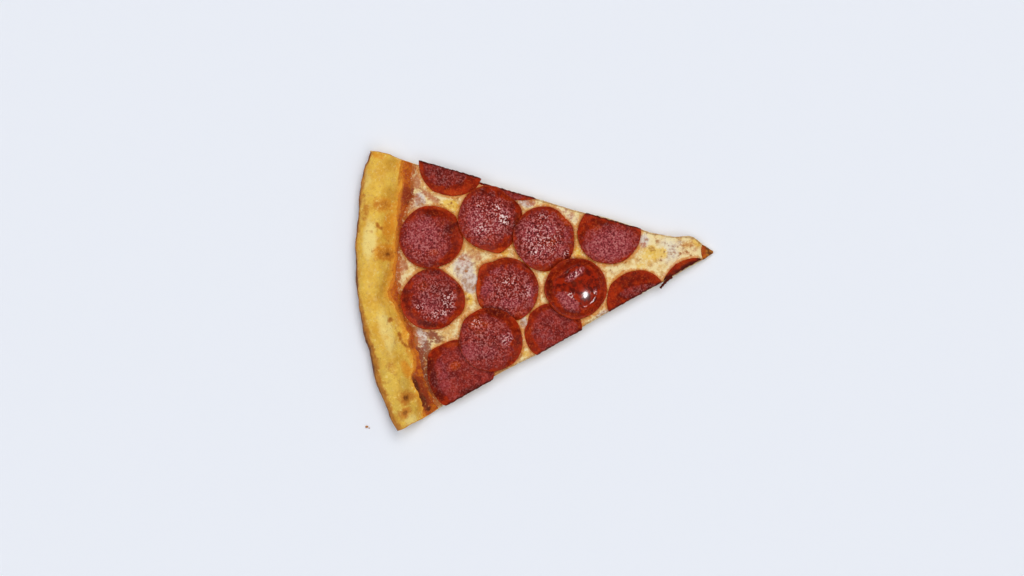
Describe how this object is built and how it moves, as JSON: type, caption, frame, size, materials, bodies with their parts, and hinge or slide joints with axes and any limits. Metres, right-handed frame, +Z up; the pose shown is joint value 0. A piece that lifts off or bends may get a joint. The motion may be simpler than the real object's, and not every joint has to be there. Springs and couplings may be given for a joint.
{
  "type": "pepperoni pizza slice",
  "caption": "Wedge of thin-crust pizza with a raised rim, sauce, melted cheese and cupped slices of pepperoni, lying flat on its underside.",
  "frame": {"origin": "middle of the slice's box in plan, on the surface that the slice lies on", "axes": "+X runs from the rim along the middle line of the slice to its tip, +Y points to the left-hand cut as seen from the rim, +Z is up"},
  "size_m": [0.2236, 0.1758, 0.015],
  "materials": {
    "baked_dough": "golden, browned at the back edge and on the underside, matt with a faint oily gloss",
    "tomato_sauce": "thick cooked sauce, slightly glossy",
    "melted_cheese": "melted and set, uneven, with oily gloss and pale and orange patches",
    "pepperoni": "greasy cured sausage, speckled with fat, darker at the raised edge"
  },
  "bodies": {
    "root": {"dough": "baked_dough", "sauce": "tomato_sauce", "cheese": "melted_cheese", "pepperoni_rim_left": "pepperoni", "pepperoni_rim_middle": "pepperoni", "pepperoni_rim_right": "pepperoni", "pepperoni_sliver_left": "pepperoni", "pepperoni_middle_right": "pepperoni", "pepperoni_corner_right": "pepperoni", "pepperoni_front_right": "pepperoni", "pepperoni_middle_left": "pepperoni", "pepperoni_front_left": "pepperoni", "pepperoni_centre": "pepperoni", "pepperoni_back_right": "pepperoni", "pepperoni_greasy": "pepperoni", "pepperoni_tip": "pepperoni", "pepperoni_sliver_right": "pepperoni"}
  },
  "joints": []
}
